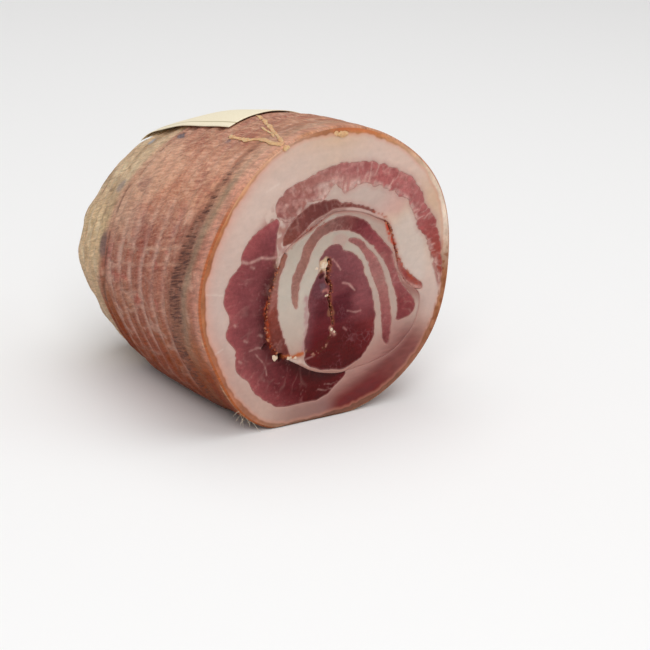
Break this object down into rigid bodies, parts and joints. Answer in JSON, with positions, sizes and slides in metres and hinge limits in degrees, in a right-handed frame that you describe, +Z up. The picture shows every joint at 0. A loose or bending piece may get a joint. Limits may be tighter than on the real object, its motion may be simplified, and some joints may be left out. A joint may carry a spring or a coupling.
{
  "type": "rolled pancetta half",
  "caption": "Half of a cured pork belly roll lying on its side, its flat cut showing fat and lean wound in a spiral, its skin ringed by the net, with a bare paper label.",
  "frame": {"origin": "under the middle of the whole roll, on the surface that it rests on", "axes": "+Y along the roll towards its gathered end, so that the flat cut looks to -Y; +X to the right for someone who faces the cut; +Z up"},
  "size_m": [0.1492, 0.1484, 0.1446],
  "materials": {
    "skin_and_fat": "satin, dried skin over pale fat",
    "inner_fat": "satin, pale fat",
    "side_lean_meat": "moist cured lean",
    "top_lean_meat": "moist cured lean",
    "dark_lean_meat": "moist cured lean",
    "wedge_lean_meat": "moist cured lean",
    "strip_lean_meat": "moist cured lean",
    "mid_lean_meat": "moist cured lean",
    "thin_lean_meat": "moist cured lean",
    "core_lean_meat": "moist cured lean",
    "label_paper": "matt uncoated"
  },
  "bodies": {
    "root": {"outer_fat": "skin_and_fat", "inner_fat": "inner_fat", "side_lean": "side_lean_meat", "top_lean": "top_lean_meat", "dark_lean": "dark_lean_meat", "wedge_lean": "wedge_lean_meat", "strip_lean": "strip_lean_meat", "mid_lean": "mid_lean_meat", "thin_lean": "thin_lean_meat", "core_lean": "core_lean_meat", "label": "label_paper"}
  },
  "joints": []
}
